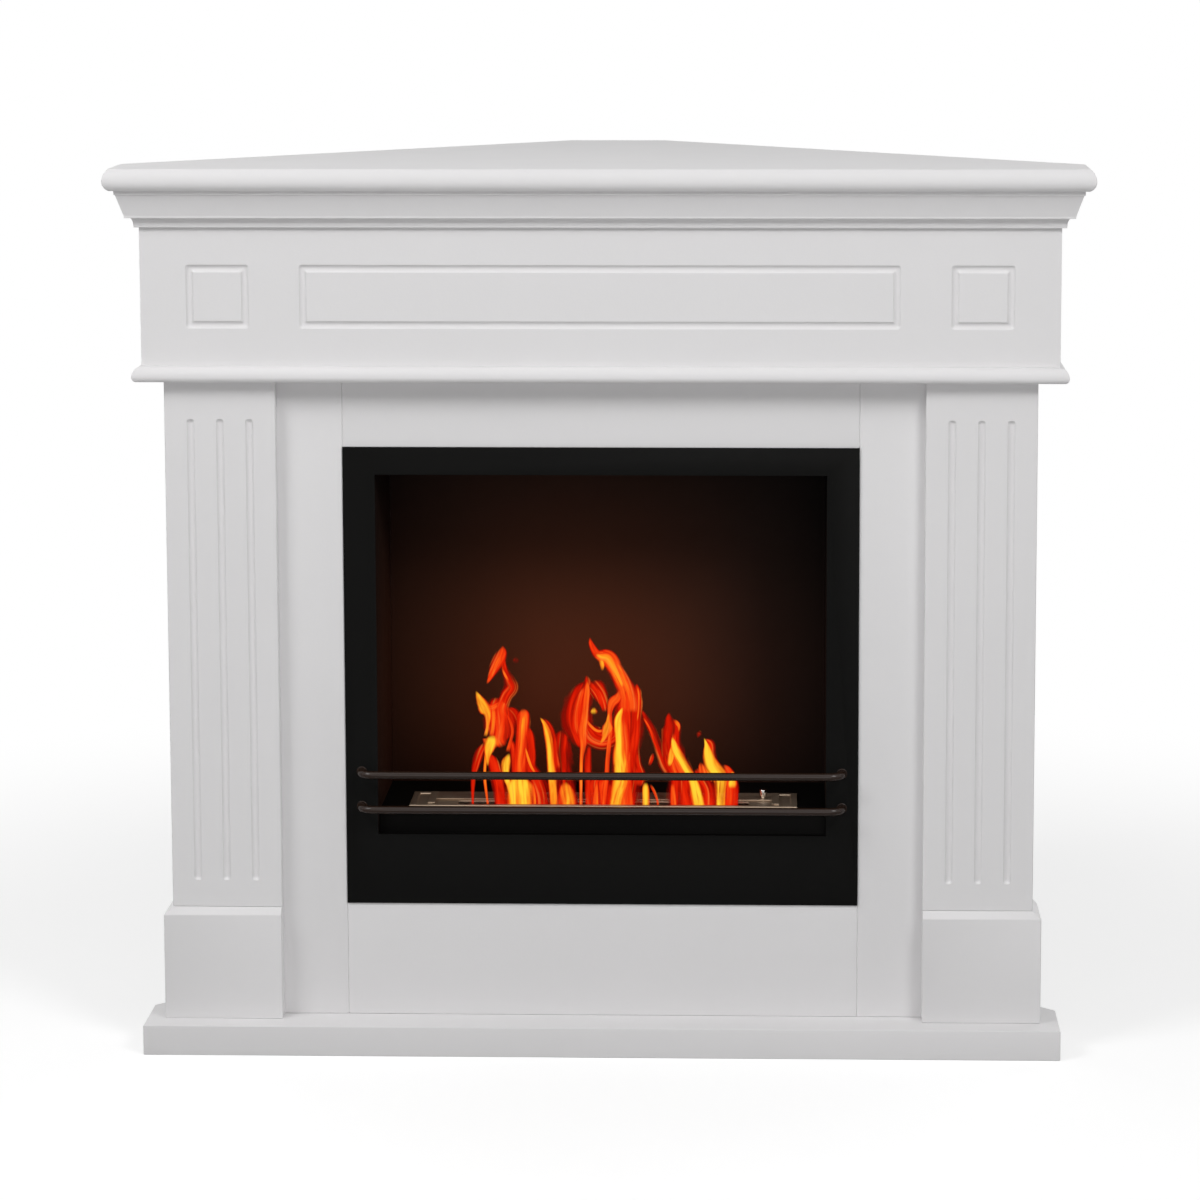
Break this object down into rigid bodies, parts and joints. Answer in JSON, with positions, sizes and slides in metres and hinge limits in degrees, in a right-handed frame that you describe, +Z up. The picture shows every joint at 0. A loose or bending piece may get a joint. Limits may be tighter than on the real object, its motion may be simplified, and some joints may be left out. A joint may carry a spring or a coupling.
{
  "type": "corner fireplace",
  "caption": "White lacquered corner mantel with fluted pilasters and a routed frieze round a black steel firebox with two guard rails and an ethanol burner.",
  "frame": {"origin": "on the floor, under the middle of the fireplace's box", "axes": "+Z up, -Y is the front that faces the room, +Y points into the corner, X runs across the front"},
  "size_m": [1.15, 0.605, 1.055],
  "materials": {
    "white_lacquer": "satin white lacquer on fibreboard",
    "raw_board": "bare fibreboard and softwood",
    "zinc_steel": "zinc plated",
    "black_coat": "matt black powder coat",
    "rail_coat": "satin black enamel",
    "stainless": "brushed stainless",
    "polished_steel": "polished",
    "ceramic_wool": "white ceramic fibre"
  },
  "bodies": {
    "fireplace": {"base_board": "white_lacquer", "left_jamb": "white_lacquer", "right_jamb": "white_lacquer", "header_panel": "white_lacquer", "lower_panel": "white_lacquer", "left_pilaster": "white_lacquer", "right_pilaster": "white_lacquer", "left_plinth": "white_lacquer", "right_plinth": "white_lacquer", "left_plinth_return": "white_lacquer", "right_plinth_return": "white_lacquer", "left_side_panel": "white_lacquer", "right_side_panel": "white_lacquer", "ledge_board": "white_lacquer", "frieze_board": "white_lacquer", "left_frieze_return": "white_lacquer", "right_frieze_return": "white_lacquer", "crown_front": "white_lacquer", "left_crown": "white_lacquer", "right_crown": "white_lacquer", "mantel_shelf": "white_lacquer", "lower_back_post": "raw_board", "upper_back_post": "raw_board", "joint_cleats": "raw_board", "support_board": "raw_board", "support_posts": "raw_board", "wall_brackets": "zinc_steel", "wall_bracket_screws": "zinc_steel", "base_screws": "zinc_steel", "rail_nuts": "zinc_steel", "clamp_brackets": "zinc_steel", "clamp_screws": "zinc_steel", "front_frame": "black_coat", "firebox_back": "black_coat", "firebox_left": "black_coat", "firebox_right": "black_coat", "firebox_top": "black_coat", "firebox_floor": "black_coat", "burner_deck": "black_coat", "upper_guard_rail": "rail_coat", "lower_guard_rail": "rail_coat", "rail_collars": "rail_coat"},
    "burner": {"burner_tray": "stainless", "burner_top": "stainless", "ceramic_wool": "ceramic_wool", "lid_guides": "stainless"},
    "lid": {"burner_lid": "stainless", "lid_knob": "polished_steel"}
  },
  "joints": [
    {"name": "burner_lift", "type": "slide", "parent": "fireplace", "child": "burner", "axis": [0, 0, 1], "range_m": [0, 0.08]},
    {"name": "lid_slide", "type": "slide", "parent": "burner", "child": "lid", "axis": [0, -1, 0], "range_m": [0, 0.0274]}
  ]
}
